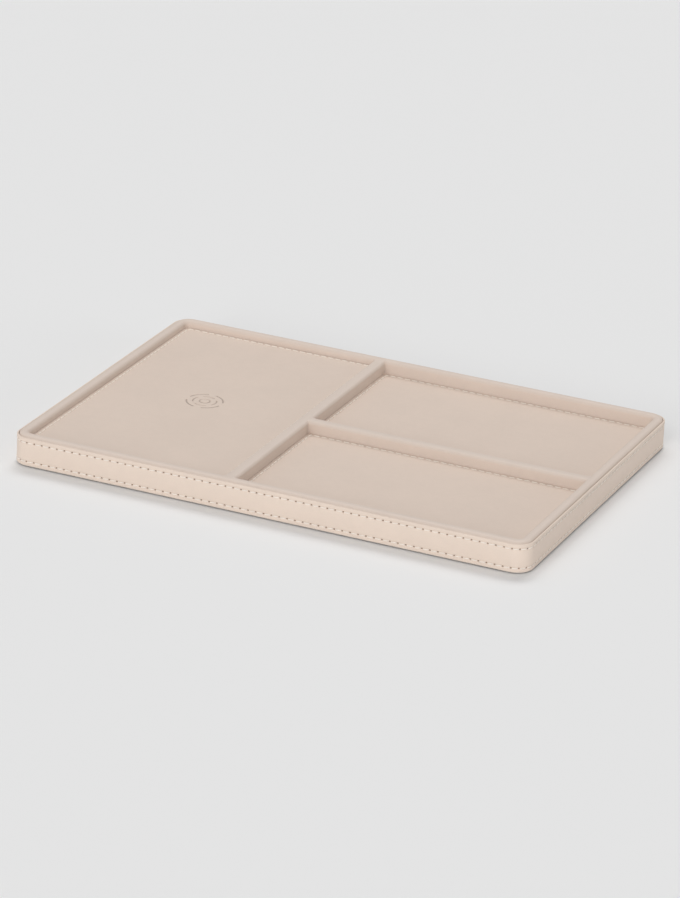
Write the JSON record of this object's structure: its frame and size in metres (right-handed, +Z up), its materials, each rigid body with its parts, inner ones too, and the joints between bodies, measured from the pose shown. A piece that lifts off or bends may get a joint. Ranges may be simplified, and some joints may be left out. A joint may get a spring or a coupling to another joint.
{
  "type": "wireless charging tray",
  "caption": "Flat leather-covered tray with a shallow wireless charging compartment beside two deeper compartments, rounded rim, stitched outer band and a USB-C inlet at the back.",
  "frame": {"origin": "centre of the footprint, on the surface the feet rest on", "axes": "+X to the tray's right (long side), +Y to its back, where the port is, +Z up"},
  "size_m": [0.3, 0.21, 0.0178],
  "materials": {
    "leather": "smooth, fine grained, semi-matt",
    "floor_leather": "smooth, fine grained, semi-matt",
    "thread": "waxed thread",
    "fibreboard": "raw fibreboard",
    "card": "dense grey card",
    "lining": "suede-like nap",
    "silicone": "matt",
    "case_plastic": "moulded, matt",
    "copper_wire": "enamelled winding",
    "ferrite": "matt sheet",
    "circuit_board": "glass-epoxy board with solder mask",
    "chip_plastic": "moulded",
    "chip_ceramic": "matt",
    "gap_pad": "soft silicone gap filler",
    "screw_steel": "plated",
    "wire_insulation": "smooth",
    "shell_steel": "drawn, satin",
    "bezel_plastic": "moulded, matt"
  },
  "bodies": {
    "root": {"outer_band": "leather", "band_top_thread": "thread", "band_bottom_thread": "thread", "rim_leather": "leather", "long_divider_leather": "leather", "cross_divider_leather": "leather", "pad_leather": "floor_leather", "back_tray_leather": "floor_leather", "front_tray_leather": "floor_leather", "pad_thread": "thread", "back_tray_thread": "thread", "front_tray_thread": "thread", "base_board": "fibreboard", "left_rail": "fibreboard", "right_rail": "fibreboard", "front_rail": "fibreboard", "back_rail": "fibreboard", "long_divider_core": "fibreboard", "cross_divider_core": "fibreboard", "pad_board": "fibreboard", "back_tray_board": "card", "front_tray_board": "card", "underside_lining": "lining", "feet": "silicone", "charger_case": "case_plastic", "charger_lid": "case_plastic", "charging_coil": "copper_wire", "coil_ferrite": "ferrite", "charger_pcb": "circuit_board", "controller_chip": "chip_plastic", "bridge_transistors": "chip_plastic", "resonant_capacitors": "chip_ceramic", "thermal_pad": "gap_pad", "pcb_screws": "screw_steel", "lid_screws": "screw_steel", "power_lead": "wire_insulation", "port_board": "circuit_board", "usb_c_shell": "shell_steel", "usb_c_tongue": "chip_plastic", "port_bezel": "bezel_plastic", "service_cover": "case_plastic", "cover_screws": "screw_steel"}
  },
  "joints": []
}
